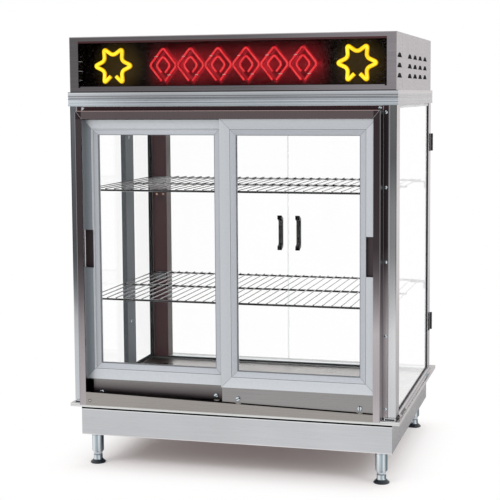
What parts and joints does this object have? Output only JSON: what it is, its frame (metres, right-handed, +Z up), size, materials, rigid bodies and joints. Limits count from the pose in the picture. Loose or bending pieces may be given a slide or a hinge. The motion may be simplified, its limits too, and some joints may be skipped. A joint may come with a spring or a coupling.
{
  "type": "popcorn warmer",
  "caption": "Free-standing warming cabinet for popcorn with a neon header sign, sliding glass doors in front, hinged clear doors behind, wire shelves and a heated floor.",
  "frame": {"origin": "middle of the outline on the floor, under the four feet", "axes": "+Z up, -Y towards the front with the sliding doors, +X to the right seen from the front"},
  "size_m": [0.914, 0.772, 1.182],
  "materials": {
    "base_steel": "light brushed",
    "deck_steel": "brushed",
    "floor_steel": "brushed, slotted",
    "galvanised": "galvanised sheet",
    "heater_sheath": "oxidised metal sheath",
    "wheel_plastic": "moulded",
    "black_plastic": "moulded",
    "rocker_plastic": "moulded",
    "foot_plastic": "moulded",
    "leg_chrome": "polished",
    "post_aluminium": "satin anodised",
    "rail_aluminium": "satin anodised",
    "trim_aluminium": "satin anodised",
    "door_aluminium": "satin anodised",
    "surround_aluminium": null,
    "sill_aluminium": "satin anodised",
    "track_aluminium": "mill finish",
    "skirt_steel": "brushed",
    "sign_steel": null,
    "bracket_steel": "zinc plated",
    "screw_steel": "plated",
    "shelf_chrome": "bright plated wire",
    "clear_glass": "clear",
    "window_glass": "clear",
    "rear_panel_glass": "clear sheet",
    "support_glass": "clear stand-off",
    "neon_red_glass": "lit tube",
    "neon_yellow_glass": "lit tube",
    "back_brown": "dark enamel",
    "transformer_paint": "black enamel",
    "lamp_white": "white enamel",
    "black_rubber": "matt",
    "roller_nylon": "moulded",
    "hinge_black": "black enamel",
    "raceway_grey": "extruded",
    "riser_brown": "dark enamel"
  },
  "bodies": {
    "cabinet": {"base_bottom_cover": "galvanised", "base_skirt": "base_steel", "blower_unit": "galvanised", "bottom_rails": "rail_aluminium", "cabinet_lamp": "lamp_white", "ceiling_pan": "base_steel", "control_bodies": "black_plastic", "control_panel": "base_steel", "cord_gland": "black_plastic", "deck": "deck_steel", "door_bumpers": "black_rubber", "door_surround": "surround_aluminium", "door_tracks": "track_aluminium", "front_posts": "post_aluminium", "glazing_gaskets": "black_rubber", "header_trim": "trim_aluminium", "heater_element": "heater_sheath", "leg_tubes": "leg_chrome", "middle_shelf": "shelf_chrome", "neon_red": "neon_red_glass", "neon_supports": "support_glass", "neon_transformer": "transformer_paint", "neon_yellow": "neon_yellow_glass", "perforated_floor": "floor_steel", "plenum_box": "galvanised", "rear_post_hinges": "hinge_black", "rear_posts": "post_aluminium", "shelf_brackets": "bracket_steel", "side_glass": "clear_glass", "sign_back_panel": "back_brown", "sign_front_housing": "sign_steel", "sign_rear_housing": "sign_steel", "sign_window": "window_glass", "sill": "sill_aluminium", "surround_screws": "screw_steel", "upper_shelf": "shelf_chrome", "wire_raceway": "raceway_grey", "wire_riser": "riser_brown"},
    "right_door": {"right_door_frame": "door_aluminium", "right_door_glass": "clear_glass", "right_door_skirt": "skirt_steel"},
    "left_door": {"left_door_frame": "door_aluminium", "left_door_glass": "clear_glass", "left_door_skirt": "skirt_steel"},
    "right_inner_roller": {"right_door_roller_inner": "roller_nylon"},
    "right_outer_roller": {"right_door_roller_outer": "roller_nylon"},
    "left_inner_roller": {"left_door_roller_inner": "roller_nylon"},
    "left_outer_roller": {"left_door_roller_outer": "roller_nylon"},
    "rear_right_panel": {"rear_right_door": "rear_panel_glass", "rear_right_fittings": "hinge_black"},
    "rear_left_panel": {"rear_left_door": "rear_panel_glass", "rear_left_fittings": "hinge_black"},
    "light_switch": {"light_rocker": "rocker_plastic"},
    "heat_switch": {"heat_rocker": "rocker_plastic"},
    "thermostat": {"thermostat_knob": "black_plastic"},
    "blower": {"blower_wheel": "wheel_plastic"},
    "front_left_leveller": {"front_left_foot": "foot_plastic"},
    "front_right_leveller": {"front_right_foot": "foot_plastic"},
    "rear_left_leveller": {"rear_left_foot": "foot_plastic"},
    "rear_right_leveller": {"rear_right_foot": "foot_plastic"}
  },
  "joints": [
    {"name": "right_door_slide", "type": "slide", "parent": "cabinet", "child": "right_door", "axis": [-0.9998, 0, 0.0218], "range_m": [0, 0.385]},
    {"name": "left_door_slide", "type": "slide", "parent": "cabinet", "child": "left_door", "axis": [0.9998, 0, 0.0218], "range_m": [0, 0.385]},
    {"name": "right_inner_roller_turn", "type": "hinge", "parent": "right_door", "child": "right_inner_roller", "pos_m": [0.033, -0.37175, 0.22498], "axis": [0, -1, 0], "range_deg": [0, 1660]},
    {"name": "right_outer_roller_turn", "type": "hinge", "parent": "right_door", "child": "right_outer_roller", "pos_m": [0.359, -0.37175, 0.21787], "axis": [0, -1, 0], "range_deg": [0, 1660]},
    {"name": "left_inner_roller_turn", "type": "hinge", "parent": "left_door", "child": "left_inner_roller", "pos_m": [-0.033, -0.34975, 0.22498], "axis": [0, 1, 0], "range_deg": [0, 1660]},
    {"name": "left_outer_roller_turn", "type": "hinge", "parent": "left_door", "child": "left_outer_roller", "pos_m": [-0.359, -0.34975, 0.21787], "axis": [0, 1, 0], "range_deg": [0, 1660]},
    {"name": "rear_right_hinge", "type": "hinge", "parent": "cabinet", "child": "rear_right_panel", "pos_m": [0.4495, 0.3305, 0.6], "axis": [0, 0, -1], "range_deg": [0, 170]},
    {"name": "rear_left_hinge", "type": "hinge", "parent": "cabinet", "child": "rear_left_panel", "pos_m": [-0.4495, 0.3305, 0.6], "axis": [0, 0, 1], "range_deg": [0, 170]},
    {"name": "light_rocker_tilt", "type": "hinge", "parent": "cabinet", "child": "light_switch", "pos_m": [0.185, 0.343, 0.1285], "axis": [-1, 0, 0], "range_deg": [0, 20]},
    {"name": "heat_rocker_tilt", "type": "hinge", "parent": "cabinet", "child": "heat_switch", "pos_m": [0.235, 0.343, 0.1285], "axis": [-1, 0, 0], "range_deg": [0, 20]},
    {"name": "thermostat_turn", "type": "hinge", "parent": "cabinet", "child": "thermostat", "pos_m": [0.33, 0.35, 0.1285], "axis": [0, 1, 0], "range_deg": [0, 270]},
    {"name": "blower_spin", "type": "hinge", "parent": "cabinet", "child": "blower", "pos_m": [0, 0.198, 0.13], "axis": [0, 0, 1], "continuous": true},
    {"name": "front_left_level", "type": "slide", "parent": "cabinet", "child": "front_left_leveller", "axis": [0, 0, -1], "range_m": [0, 0.02]},
    {"name": "front_right_level", "type": "slide", "parent": "cabinet", "child": "front_right_leveller", "axis": [0, 0, -1], "range_m": [0, 0.02]},
    {"name": "rear_left_level", "type": "slide", "parent": "cabinet", "child": "rear_left_leveller", "axis": [0, 0, -1], "range_m": [0, 0.02]},
    {"name": "rear_right_level", "type": "slide", "parent": "cabinet", "child": "rear_right_leveller", "axis": [0, 0, -1], "range_m": [0, 0.02]}
  ],
  "couplings": [
    {"joint": "right_inner_roller_turn", "follows": "right_door_slide", "rad_per_m": 74.627},
    {"joint": "right_outer_roller_turn", "follows": "right_door_slide", "rad_per_m": 74.627},
    {"joint": "left_inner_roller_turn", "follows": "left_door_slide", "rad_per_m": 74.627},
    {"joint": "left_outer_roller_turn", "follows": "left_door_slide", "rad_per_m": 74.627}
  ]
}
